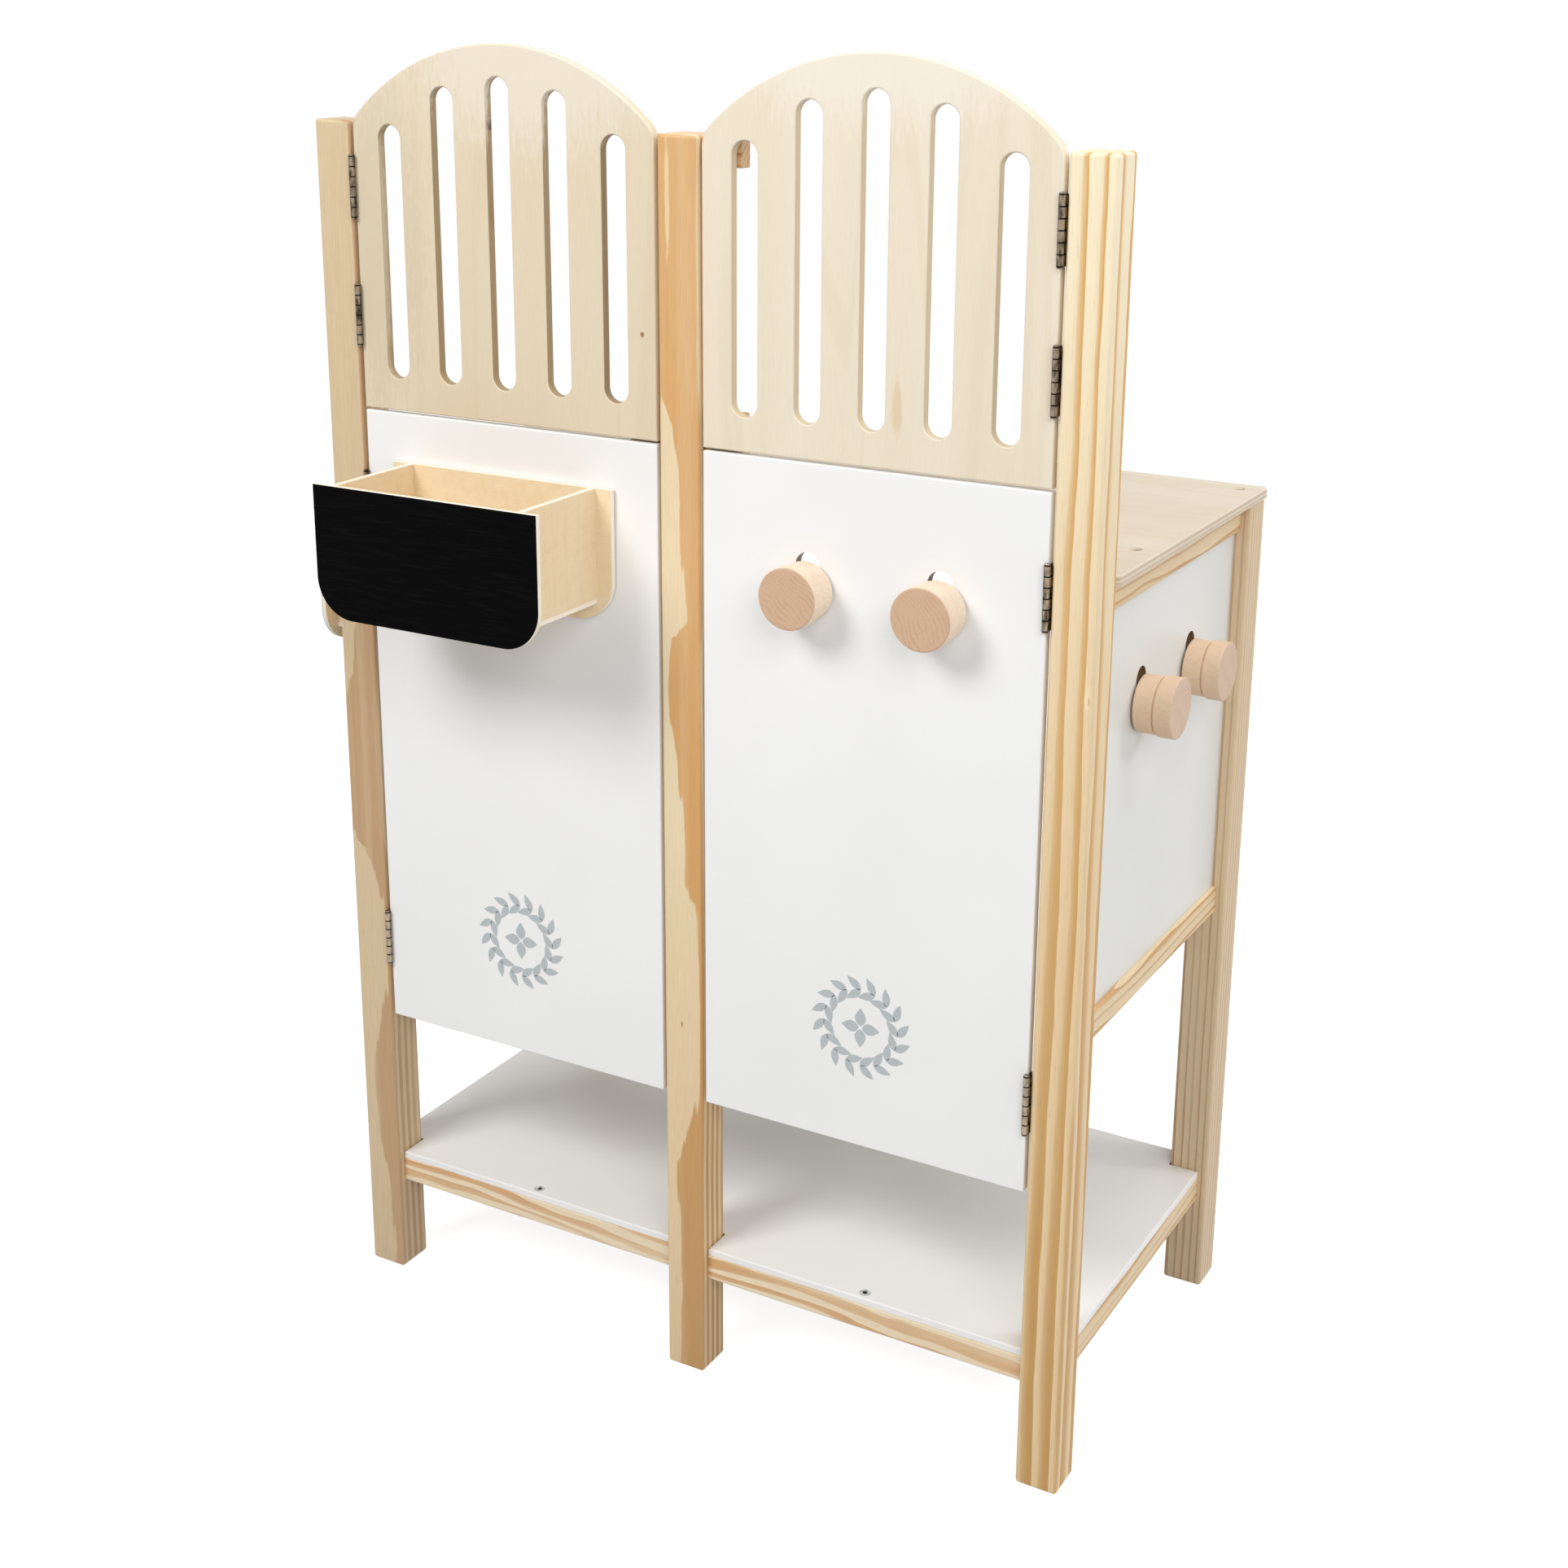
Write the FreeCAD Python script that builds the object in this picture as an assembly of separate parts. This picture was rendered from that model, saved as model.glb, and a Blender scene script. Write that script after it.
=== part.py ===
"""A child's hobby-horse stable: a pine frame, four hinged doors, and troughs and knobs that hang in keyholes.

The origin is the centre of the middle front post's foot, on the floor. +X runs to the right along the front,
+Y to the back and +Z up. All sizes are in millimetres.
"""
import FreeCAD
import Part
import math
import os

# Posts
overall_width = 700.0
overall_depth = 382.0
front_post_height = 1058.0
post_size = 36.0
post_edge_radius = 3.0

# Rails, all centred on the posts
rail_height = 24.0
rail_thickness = 18.0
rail_edge_radius = 2.5

# Bottom shelf, notched round the posts and flush with the rails below it
shelf_top_height = 118.0
shelf_thickness = 6.0
shelf_edge_radius = 1.2
shelf_post_clearance = 0.4

# Top board, on the back posts and the top rails, behind the front posts
board_top_height = 757.0
board_thickness = 9.0
board_overhang = 2.0
board_corner_radius = 6.0
board_edge_radius = 1.0
board_post_clearance = 0.3

# Countersinks for the screws of the shelf and the top board
screw_sink_radius = 5.4
screw_sink_taper = 0.8
shelf_sink_depth = 1.2
board_sink_depth = 3.0
board_front_screw_y = 101.0

# Side panels, held by a tongue in grooves of the posts and rails
panel_bottom_height = 401.0
panel_thickness = 9.0
panel_tongue = 5.0
groove_side_clearance = 0.1
groove_end_clearance = 0.5

# Doors
door_side_gap = 3.0
door_recess = 1.0
door_thickness = 9.0
door_edge_radius = 1.5
lower_door_bottom_height = 263.0
door_split_height = 822.0
door_split_gap = 2.0
arch_spring_above_posts = 1.0
arch_rise = 61.5
arch_shoulder_radius = 22.0
slot_count = 5
slot_width = 22.0
slot_side_margin = 26.0
slot_bottom_margin = 27.0
slot_top_margin = 25.0

# Door stops on the middle post
stop_reach = 33.0
stop_depth = 12.0
stop_gap = 0.3
stop_edge_radius = 1.0
top_stop_height = 22.0
top_stop_drop = 1.5
split_stop_height = 56.0

# Butt hinges, with the barrel in front of the gap between post and door
hinge_barrel_length = 49.0
hinge_knuckle_count = 6
hinge_knuckle_gap = 0.3
hinge_barrel_radius = 2.6
hinge_barrel_clearance = 0.2
hinge_pin_radius = 1.3
hinge_pin_clearance = 0.05
hinge_tip_radius = 2.3
hinge_tip_height = 1.5
hinge_leaf_thickness = 1.2
hinge_leaf_depth = 6.5
hinge_leaf_clearance = 0.3
hinge_axis_past_door = 0.2
lower_hinge_distance = 77.0
upper_hinge_rise = 77.5
arch_hinge_drop = 54.0

# Keyholes in the lower doors and side panels: a round entry above a slot that ends in the seat
keyhole_spacing = 111.5
door_keyhole_shift = 4.0
keyhole_entry_radius = 10.5
keyhole_rise = 19.0
door_seat_drop = 98.5
knob_panel_seat_drop = 92.5
trough_panel_seat_drop = 99.0

# Pegs that hang in the keyholes, the same on knobs and troughs
peg_neck_radius = 5.0
peg_neck_play = 0.3
peg_flange_radius = 9.5
peg_flange_thickness = 4.0
peg_flange_gap = 0.5
peg_edge_radius = 0.8

# Turned knobs, with a groove between the rear and the slightly larger front section
knob_rear_radius = 23.2
knob_rear_length = 16.0
knob_front_radius = 24.5
knob_front_length = 14.5
knob_groove_width = 1.0
knob_groove_depth = 1.2
knob_edge_radius = 1.6
knob_gap = 1.8

# Troughs: a box between two plates that stand out past its ends and its floor
trough_width = 218.0
trough_height = 109.5
trough_depth = 106.0
trough_corner_radius = 34.0
trough_plate_thickness = 5.0
trough_overhang = 15.0
trough_end_thickness = 6.0
trough_floor_thickness = 4.0
trough_top_above_seat = 58.0
trough_gap = 0.8

# Cuts run past the faces that they open by the overrun; an edge within the coincidence of a plane lies in it
overrun = 1.0
coincidence = 0.001

# Places that follow from the sizes above
side_post_x = (overall_width - post_size) / 2
back_post_y = overall_depth - post_size
post_back_y = post_size / 2
front_face_y = -post_size / 2
bay_width = side_post_x - post_size
bay_centre_x = side_post_x / 2
shelf_bottom = shelf_top_height - shelf_thickness
board_bottom = board_top_height - board_thickness
panel_top = board_bottom - rail_height
panel_centre_y = back_post_y / 2
panel_face_x = side_post_x + panel_thickness / 2
door_width = bay_width - door_side_gap * 2
slot_pitch = (door_width - slot_side_margin * 2 - slot_width) / (slot_count - 1)
door_front_y = front_face_y + door_recess
door_back_y = door_front_y + door_thickness
lower_door_top = door_split_height - door_split_gap / 2
upper_door_bottom = door_split_height + door_split_gap / 2
arch_spring_height = front_post_height + arch_spring_above_posts
arch_top_height = arch_spring_height + arch_rise
arch_radius = ((door_width / 2) ** 2 + arch_rise**2) / (arch_rise * 2)
arch_centre_height = arch_top_height - arch_radius
hinge_axis_x = bay_centre_x + door_width / 2 + hinge_axis_past_door
hinge_axis_y = door_front_y - hinge_barrel_radius - hinge_barrel_clearance
door_keyhole_x = bay_centre_x + door_keyhole_shift
door_seat_height = lower_door_top - door_seat_drop
knob_panel_seat_height = panel_top - knob_panel_seat_drop
trough_panel_seat_height = panel_top - trough_panel_seat_drop

LEFT, RIGHT = -1, 1
SIDES = (("left", LEFT), ("right", RIGHT))
QUARTER_TURN = 90.0
UP = FreeCAD.Vector(0, 0, 1)
BACK = FreeCAD.Vector(0, 1, 0)
ALONG = FreeCAD.Vector(1, 0, 0)
ORIGIN = FreeCAD.Vector(0, 0, 0)


def save(name, shape):
    """Writes one piece to its own file."""
    shape.exportStep(os.path.join("parts", name + ".step"))


def centred(middle, size):
    """The (low, high) pair of a size about its middle."""
    return (middle - size / 2, middle + size / 2)


def block(x, y, z):
    """A plain block from its pairs of ends along X, Y and Z."""
    low, high = zip(sorted(x), sorted(y), sorted(z))
    return Part.makeBox(*(b - a for a, b in zip(low, high)), FreeCAD.Vector(*low))


def edges_along(shape, direction):
    """The straight edges that run along one axis."""
    found = []
    for edge in shape.Edges:
        span = edge.lastVertex().Point - edge.firstVertex().Point
        if edge.Length - abs(span.dot(direction)) < coincidence:
            found.append(edge)
    return found


def edges_level(shape, direction, level):
    """The edges that lie in the plane at a level along one axis."""
    return [
        edge
        for edge in shape.Edges
        if all(abs(point.dot(direction) - level) < coincidence for point in edge.discretize(Number=3))
    ]


def placed(shape, x, y, z, turn=0):
    """A copy of a shape, turned about the vertical and then moved."""
    copy = shape.copy()
    copy.Placement = FreeCAD.Placement(FreeCAD.Vector(x, y, z), FreeCAD.Rotation(UP, turn)) * shape.Placement
    return copy


def outline(curves, y, thickness):
    """A closed outline in the plane at y, given a thickness towards the back."""
    face = Part.Face(Part.Wire([curve.toShape() for curve in curves]))
    return face.extrude(BACK * thickness).translated(BACK * y)


def at(x, z):
    """A point of an outline."""
    return FreeCAD.Vector(x, 0, z)


def line(start, end):
    return Part.LineSegment(start, end)


def post(x, y, height):
    """A square post with all its edges rounded."""
    shape = block(centred(x, post_size), centred(y, post_size), (0, height))
    return shape.makeFillet(post_edge_radius, shape.Edges)


def rail(x, y, bottom, direction):
    """A rail with rounded long edges and flat ends."""
    shape = block(x, y, (bottom, bottom + rail_height))
    return shape.makeFillet(rail_edge_radius, edges_along(shape, direction))


def countersunk(board, places, top, depth):
    """A board with a countersink in its upper face at each place."""
    for x, y in places:
        mouth = FreeCAD.Vector(x, y, top)
        board = board.cut(Part.makeCone(screw_sink_radius, screw_sink_radius - screw_sink_taper, depth, mouth, -UP))
    return board


def panel_space(side, side_clearance=0, end_clearance=0):
    """A side panel with its tongues, or the room for it with the grooves' clearances."""
    reach = panel_tongue + end_clearance
    return block(
        centred(side * side_post_x, panel_thickness + side_clearance * 2),
        (post_back_y - reach, back_post_y - post_size / 2 + reach),
        (panel_bottom_height - reach, panel_top + reach),
    )


def groove(side):
    return panel_space(side, groove_side_clearance, groove_end_clearance)


def keyhole(depth):
    """The cut for a keyhole in a board whose outer face is at y = 0, with the seat's centre at the origin."""
    start = BACK * -overrun
    length = depth + overrun * 2
    slot_radius = peg_neck_radius + peg_neck_play
    seat = Part.makeCylinder(slot_radius, length, start, BACK)
    entry = Part.makeCylinder(keyhole_entry_radius, length, start + UP * keyhole_rise, BACK)
    slot = block(centred(0, slot_radius * 2), (-overrun, depth + overrun), (0, keyhole_rise))
    return seat.fuse([entry, slot])


def keyhole_pair(depth, x, y, z, turn=0):
    """Two keyholes side by side in one board."""
    hole = keyhole(depth)
    pair = Part.makeCompound([placed(hole, offset, 0, 0) for offset in centred(0, keyhole_spacing)])
    return placed(pair, x, y, z, turn)


def lower_door(side):
    """A plain door with eased edges and two keyholes."""
    shape = block(
        centred(side * bay_centre_x, door_width),
        (door_front_y, door_back_y),
        (lower_door_bottom_height, lower_door_top),
    )
    shape = shape.makeFillet(door_edge_radius, shape.Edges)
    return shape.cut(keyhole_pair(door_thickness, side * door_keyhole_x, door_front_y, door_seat_height))


def slot_outline(x):
    """A round-ended slot whose upper end keeps its distance from the arch."""
    radius = slot_width / 2
    low = upper_door_bottom + slot_bottom_margin + radius
    high = arch_centre_height + math.sqrt((arch_radius - slot_top_margin - radius) ** 2 - x**2)
    return [
        line(at(x - radius, low), at(x - radius, high)),
        Part.Arc(at(x - radius, high), at(x, high + radius), at(x + radius, high)),
        line(at(x + radius, high), at(x + radius, low)),
        Part.Arc(at(x + radius, low), at(x, low - radius), at(x - radius, low)),
    ]


def upper_door(side):
    """An arched door with a row of slots, its outer and slot edges rounded on both faces."""
    half = door_width / 2
    arch = [
        line(at(half, upper_door_bottom), at(half, arch_spring_height)),
        Part.Arc(at(half, arch_spring_height), at(0, arch_top_height), at(-half, arch_spring_height)),
        line(at(-half, arch_spring_height), at(-half, upper_door_bottom)),
        line(at(-half, upper_door_bottom), at(half, upper_door_bottom)),
    ]
    shape = outline(arch, 0, door_thickness)
    shape = shape.makeFillet(arch_shoulder_radius, edges_level(shape, UP, arch_spring_height))
    first_slot_x = -slot_pitch * (slot_count - 1) / 2
    for index in range(slot_count):
        cut = slot_outline(first_slot_x + slot_pitch * index)
        shape = shape.cut(outline(cut, -overrun, door_thickness + overrun * 2))
    face_edges = edges_level(shape, BACK, 0) + edges_level(shape, BACK, door_thickness)
    shape = shape.makeFillet(door_edge_radius, face_edges)
    return placed(shape, side * bay_centre_x, door_front_y, 0)


def knuckles(first):
    """Every second length of the barrel about the vertical axis, from the first one on."""
    pitch = hinge_barrel_length / hinge_knuckle_count
    length = pitch - hinge_knuckle_gap
    return [
        (-hinge_barrel_length / 2 + pitch * index + hinge_knuckle_gap / 2, length)
        for index in range(first, hinge_knuckle_count, 2)
    ]


def hinge_leaf(side, first):
    """A leaf on one side of the gap, with its knuckles solid."""
    outer_x = door_side_gap - hinge_axis_past_door if side == RIGHT else -hinge_axis_past_door
    leaf_x = (outer_x, outer_x - side * hinge_leaf_thickness)
    plate_front = hinge_barrel_radius + hinge_leaf_clearance
    shape = block(leaf_x, (plate_front, plate_front + hinge_leaf_depth), centred(0, hinge_barrel_length))
    for bottom, length in knuckles(first):
        barrel = Part.makeCylinder(hinge_barrel_radius, length, UP * bottom)
        tab = block(leaf_x, (0, plate_front), (bottom, bottom + length))
        shape = shape.fuse([barrel, tab])
    return shape


def hinge_post_leaf():
    """The post's leaf of a right-hand hinge, with the pin pressed into its knuckles."""
    pin = Part.makeCylinder(hinge_pin_radius, hinge_barrel_length, UP * (-hinge_barrel_length / 2))
    tip_bottom = hinge_barrel_length / 2
    tip = Part.makeCylinder(hinge_tip_radius, hinge_tip_height, UP * tip_bottom)
    tip = tip.makeFillet(hinge_tip_height / 2, edges_level(tip, UP, tip_bottom + hinge_tip_height))
    tips = [tip, tip.mirror(ORIGIN, UP)]
    return hinge_leaf(RIGHT, 0).fuse([pin] + tips).removeSplitter()


def hinge_door_leaf():
    """The door's leaf of a right-hand hinge, bored for the pin."""
    bore_radius = hinge_pin_radius + hinge_pin_clearance
    bore = Part.makeCylinder(bore_radius, hinge_barrel_length, UP * (-hinge_barrel_length / 2))
    return hinge_leaf(LEFT, 1).removeSplitter().cut(bore)


def peg(front):
    """A neck and flange through a board whose outer face is at y = 0, from a front plane outside it."""
    flange_y = door_thickness + peg_flange_gap
    neck = Part.makeCylinder(peg_neck_radius, flange_y - front, BACK * front, BACK)
    flange = Part.makeCylinder(peg_flange_radius, peg_flange_thickness, BACK * flange_y, BACK)
    flange = flange.makeFillet(peg_edge_radius, edges_level(flange, BACK, flange_y + peg_flange_thickness))
    return neck.fuse(flange)


def knob():
    """A turned knob on its peg, outside a board whose outer face is at y = 0."""
    rear_y = -knob_gap - knob_rear_length
    front_y = rear_y - knob_groove_width - knob_front_length
    rear = Part.makeCylinder(knob_rear_radius, knob_rear_length, BACK * rear_y, BACK)
    core_radius = knob_rear_radius - knob_groove_depth
    core = Part.makeCylinder(core_radius, knob_groove_width, BACK * (rear_y - knob_groove_width), BACK)
    front = Part.makeCylinder(knob_front_radius, knob_front_length, BACK * front_y, BACK)
    rims = [
        section.makeFillet(knob_edge_radius, [edge for edge in section.Edges if edge.Closed])
        for section in (rear, front)
    ]
    return core.fuse(rims + [peg(-knob_gap)]).removeSplitter()


def trough_plate(y):
    """A plate with square upper corners and large round lower corners."""
    half = trough_width / 2
    top = trough_top_above_seat
    bottom = top - trough_height
    radius = trough_corner_radius
    bulge = radius * (1 - math.sqrt(2) / 2)
    curves = [
        line(at(-half, top), at(-half, bottom + radius)),
        Part.Arc(at(-half, bottom + radius), at(-half + bulge, bottom + bulge), at(-half + radius, bottom)),
        line(at(-half + radius, bottom), at(half - radius, bottom)),
        Part.Arc(at(half - radius, bottom), at(half - bulge, bottom + bulge), at(half, bottom + radius)),
        line(at(half, bottom + radius), at(half, top)),
        line(at(half, top), at(-half, top)),
    ]
    return outline(curves, y, trough_plate_thickness)


def trough():
    """The pieces of a trough on a board whose outer face is at y = 0, its seats level with the origin."""
    back_y = -trough_gap - trough_plate_thickness
    front_y = -trough_gap - trough_depth
    box_y = (front_y + trough_plate_thickness, back_y)
    box_half = trough_width / 2 - trough_overhang
    floor_bottom = trough_top_above_seat - trough_height + trough_overhang
    floor_top = floor_bottom + trough_floor_thickness
    pieces = {
        "front_plate": trough_plate(front_y),
        "back_plate": trough_plate(back_y),
        "floor": block(centred(0, box_half * 2), box_y, (floor_bottom, floor_top)),
        "pegs": Part.makeCompound([placed(peg(-trough_gap), x, 0, 0) for x in centred(0, keyhole_spacing)]),
    }
    for name, side in SIDES:
        end_x = (side * box_half, side * (box_half - trough_end_thickness))
        pieces["end_" + name] = block(end_x, box_y, (floor_top, trough_top_above_seat))
    return pieces


os.makedirs("parts", exist_ok=True)

# Posts and the rails between them
save("post_front_middle", post(0, 0, front_post_height))
for name, side in SIDES:
    post_x = side * side_post_x
    save("post_front_" + name, post(post_x, 0, front_post_height).cut(groove(side)))
    save("post_back_" + name, post(post_x, back_post_y, board_bottom).cut(groove(side)))

    front_x = (side * post_size / 2, side * (side_post_x - post_size / 2))
    save("rail_front_" + name, rail(front_x, centred(0, rail_thickness), shelf_bottom - rail_height, ALONG))

    side_x = centred(post_x, rail_thickness)
    side_y = (post_back_y, back_post_y - post_size / 2)
    save("rail_side_bottom_" + name, rail(side_x, side_y, shelf_bottom - rail_height, BACK))
    middle_rail = rail(side_x, side_y, panel_bottom_height - rail_height, BACK)
    save("rail_side_middle_" + name, middle_rail.cut(groove(side)))
    save("rail_side_top_" + name, rail(side_x, side_y, panel_top, BACK).cut(groove(side)))

back_x = centred(0, side_post_x * 2 - post_size)
back_y = centred(back_post_y, rail_thickness)
save("rail_back_bottom", rail(back_x, back_y, shelf_bottom - rail_height, ALONG))
save("rail_back_top", rail(back_x, back_y, panel_top, ALONG))

# Bottom shelf
shelf = block(
    centred(0, side_post_x * 2 + rail_thickness),
    (-rail_thickness / 2, back_post_y + rail_thickness / 2),
    (shelf_bottom, shelf_top_height),
)
notch_size = post_size + shelf_post_clearance * 2
corner_posts = [(side * side_post_x, y) for name, side in SIDES for y in (0, back_post_y)]
for x, y in corner_posts + [(0, 0)]:
    notch_z = (shelf_bottom - overrun, shelf_top_height + overrun)
    shelf = shelf.cut(block(centred(x, notch_size), centred(y, notch_size), notch_z))
shelf = shelf.makeFillet(shelf_edge_radius, edges_level(shelf, UP, shelf_top_height))
shelf_screws = [(side * bay_centre_x, y) for name, side in SIDES for y in (0, back_post_y)]
save("bottom_shelf", countersunk(shelf, shelf_screws, shelf_top_height, shelf_sink_depth))

# Top board
board = block(
    centred(0, overall_width + board_overhang * 2),
    (post_back_y + board_post_clearance, back_post_y + post_size / 2 + board_overhang),
    (board_bottom, board_top_height),
)
board = board.makeFillet(board_corner_radius, edges_along(board, UP))
board_rims = edges_level(board, UP, board_top_height) + edges_level(board, UP, board_bottom)
board = board.makeFillet(board_edge_radius, board_rims)
board_screws = [(side * side_post_x, y) for name, side in SIDES for y in (board_front_screw_y, back_post_y)]
save("top_board", countersunk(board, board_screws, board_top_height, board_sink_depth))

# Side panels
for name, side in SIDES:
    seat_height = knob_panel_seat_height if side == RIGHT else trough_panel_seat_height
    face_x = side * panel_face_x
    holes = keyhole_pair(panel_thickness, face_x, panel_centre_y, seat_height, side * QUARTER_TURN)
    save("side_panel_" + name, panel_space(side).cut(holes))

# Doors and their stops
for name, side in SIDES:
    save("lower_door_" + name, lower_door(side))
    save("upper_door_" + name, upper_door(side))

    stop_x = (side * post_size / 2, side * (post_size / 2 + stop_reach))
    stop_y = (door_back_y + stop_gap, door_back_y + stop_gap + stop_depth)
    stop_top = front_post_height - top_stop_drop
    for level, stop_z in (
        ("top", (stop_top - top_stop_height, stop_top)),
        ("split", centred(door_split_height, split_stop_height)),
    ):
        stop = block(stop_x, stop_y, stop_z)
        save("stop_" + level + "_" + name, stop.makeFillet(stop_edge_radius, stop.Edges))

# Hinges, two on each door
hinge_heights = {
    "upper_door_top": arch_spring_height - arch_hinge_drop,
    "upper_door_bottom": upper_door_bottom + upper_hinge_rise,
    "lower_door_top": lower_door_top - lower_hinge_distance,
    "lower_door_bottom": lower_door_bottom_height + lower_hinge_distance,
}
for leaf_name, leaf in (("post_leaf", hinge_post_leaf()), ("door_leaf", hinge_door_leaf())):
    for place, height in hinge_heights.items():
        for name, side in SIDES:
            shape = leaf if side == RIGHT else leaf.mirror(ORIGIN, ALONG)
            hinge = placed(shape, side * hinge_axis_x, hinge_axis_y, height)
            save("hinge_" + place + "_" + name + "_" + leaf_name, hinge)

# Knobs on the right lower door and the right side panel
turned_knob = knob()
for name, offset in zip(("left", "right"), centred(0, keyhole_spacing)):
    save("knob_door_" + name, placed(turned_knob, door_keyhole_x + offset, door_front_y, door_seat_height))
for name, offset in zip(("front", "back"), centred(0, keyhole_spacing)):
    knob_y = panel_centre_y + offset
    save("knob_side_" + name, placed(turned_knob, panel_face_x, knob_y, knob_panel_seat_height, QUARTER_TURN))

# Troughs on the left lower door and the left side panel
for name, piece in trough().items():
    save("trough_door_" + name, placed(piece, -door_keyhole_x, door_front_y, door_seat_height))
    side_trough = placed(piece, -panel_face_x, panel_centre_y, trough_panel_seat_height, -QUARTER_TURN)
    save("trough_side_" + name, side_trough)
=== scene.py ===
"""The looks of a child's hobby-horse stable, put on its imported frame.

All sizes are in metres, in the frame's own axes: +X to the right along the front, +Y to the back and +Z up.
"""

import math

import bpy
from mathutils import Euler, Matrix, Vector


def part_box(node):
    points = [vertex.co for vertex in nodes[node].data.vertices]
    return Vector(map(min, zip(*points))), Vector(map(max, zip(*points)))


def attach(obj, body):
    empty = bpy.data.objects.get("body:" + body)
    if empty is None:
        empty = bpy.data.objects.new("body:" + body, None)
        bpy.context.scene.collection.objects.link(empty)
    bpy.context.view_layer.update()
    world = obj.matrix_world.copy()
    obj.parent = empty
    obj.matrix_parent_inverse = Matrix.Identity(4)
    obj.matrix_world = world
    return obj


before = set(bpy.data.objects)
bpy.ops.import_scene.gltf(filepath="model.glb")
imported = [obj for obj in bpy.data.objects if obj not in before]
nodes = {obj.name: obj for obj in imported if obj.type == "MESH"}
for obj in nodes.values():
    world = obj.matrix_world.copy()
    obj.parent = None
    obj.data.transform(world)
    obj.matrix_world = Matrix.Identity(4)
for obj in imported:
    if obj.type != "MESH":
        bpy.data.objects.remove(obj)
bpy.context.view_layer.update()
MM = 0.001


# Posts: planed pine, 36 mm square with rounded edges, the three at the front taller than the pair behind.
# Each is sawn from another place in its log, so its rings show as broad flames, wide stripes or fine lines.


def colour(red, green, blue):
    """A colour for a socket from its usual levels of 0 to 255."""
    levels = [level / 255 for level in (red, green, blue)]
    linear = [v / 12.92 if v <= 0.04045 else ((v + 0.055) / 1.055) ** 2.4 for v in levels]
    return (*linear, 1.0)


def toned(shade, *shares):
    """A shade whose red, green and blue levels are scaled by shares."""
    return (*(level * share for level, share in zip(shade, shares)), 1.0)


def add(tree, kind, inputs, **settings):
    """A new node; each of its inputs takes a value or the output that feeds it."""
    made = tree.nodes.new(kind)
    for name, value in settings.items():
        setattr(made, name, value)
    for socket, value in inputs.items():
        if isinstance(value, bpy.types.NodeSocket):
            tree.links.new(value, made.inputs[socket])
        else:
            made.inputs[socket].default_value = value
    return made


def maths(tree, operation, *values):
    return add(tree, "ShaderNodeMath", dict(enumerate(values)), operation=operation).outputs[0]


def vectors(tree, operation, *values):
    return add(tree, "ShaderNodeVectorMath", dict(enumerate(values)), operation=operation).outputs[0]


def norm(tree, vector):
    """A vector's length."""
    return add(tree, "ShaderNodeVectorMath", {0: vector}, operation="LENGTH").outputs["Value"]


def coordinate(tree, point, axis):
    """A point's place along the axis X, Y or Z."""
    return add(tree, "ShaderNodeSeparateXYZ", {0: point}).outputs[axis]


def spread(tree, value, low, high, start=0.0, end=1.0):
    """A value taken smoothly from one range to another and held at its ends."""
    inputs = {0: value, 1: low, 2: high, 3: start, 4: end}
    return add(tree, "ShaderNodeMapRange", inputs, interpolation_type="SMOOTHSTEP").outputs[0]


def mixed(tree, share, first, second, way="MIX"):
    made = add(tree, "ShaderNodeMix", {0: share, 6: first, 7: second}, data_type="RGBA", blend_type=way)
    return made.outputs[2]


def noise(tree, point, per_metre, detail=2.0, output="Fac"):
    """Noise with its own number of features per metre along X, Y and Z."""
    scaled = vectors(tree, "MULTIPLY", point, per_metre)
    return add(tree, "ShaderNodeTexNoise", {"Vector": scaled, "Scale": 1.0, "Detail": detail}).outputs[output]


def steps(tree, value, *stops):
    """A level that runs between stops, each a place from 0 to 1 and its level."""
    made = add(tree, "ShaderNodeValToRGB", {"Fac": value})
    elements = made.color_ramp.elements
    while len(elements) < len(stops):
        elements.new(1.0)
    for element, (place, level) in zip(elements, stops):
        element.position = place
        element.color = (level, level, level, 1.0)
    return made.outputs["Color"]


def surface(name, **constants):
    """A material with constants on its shader's sockets; gives its tree, shader and Object coordinates."""
    material = bpy.data.materials.new(name)
    material.use_nodes = True
    tree = material.node_tree
    shader = tree.nodes["Principled BSDF"]
    for socket, value in constants.items():
        shader.inputs[socket.replace("_", " ")].default_value = value
    return material, tree, shader, add(tree, "ShaderNodeTexCoord", {}).outputs["Object"]


def relief(tree, shader, height, depth):
    bump = add(tree, "ShaderNodeBump", {"Height": height, "Distance": depth})
    tree.links.new(bump.outputs[0], shader.inputs["Normal"])


def dress(material, *names):
    """Gives CAD nodes their finish."""
    for name in names:
        nodes[name].data.materials.clear()
        nodes[name].data.materials.append(material)


def middle(name):
    low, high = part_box(name)
    return (low + high) / 2


# The turns that lay each axis along Z, one year's pale and dark wood, and how the dark rises across a ring.
GRAIN_TURNS = {"X": (0, -math.pi / 2, 0), "Y": (math.pi / 2, 0, 0), "Z": (0, 0, 0)}
pine_early = colour(244, 226, 191)
pine_late = colour(220, 170, 110)
striped = ((0.0, 0.0), (0.5, 0.03), (0.7, 0.18), (0.78, 0.66), (0.92, 1.0), (0.985, 1.0), (1.0, 0.0))
flamed = ((0.0, 0.0), (0.44, 0.02), (0.52, 0.85), (0.75, 1.0), (0.985, 1.0), (1.0, 0.0))


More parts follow.
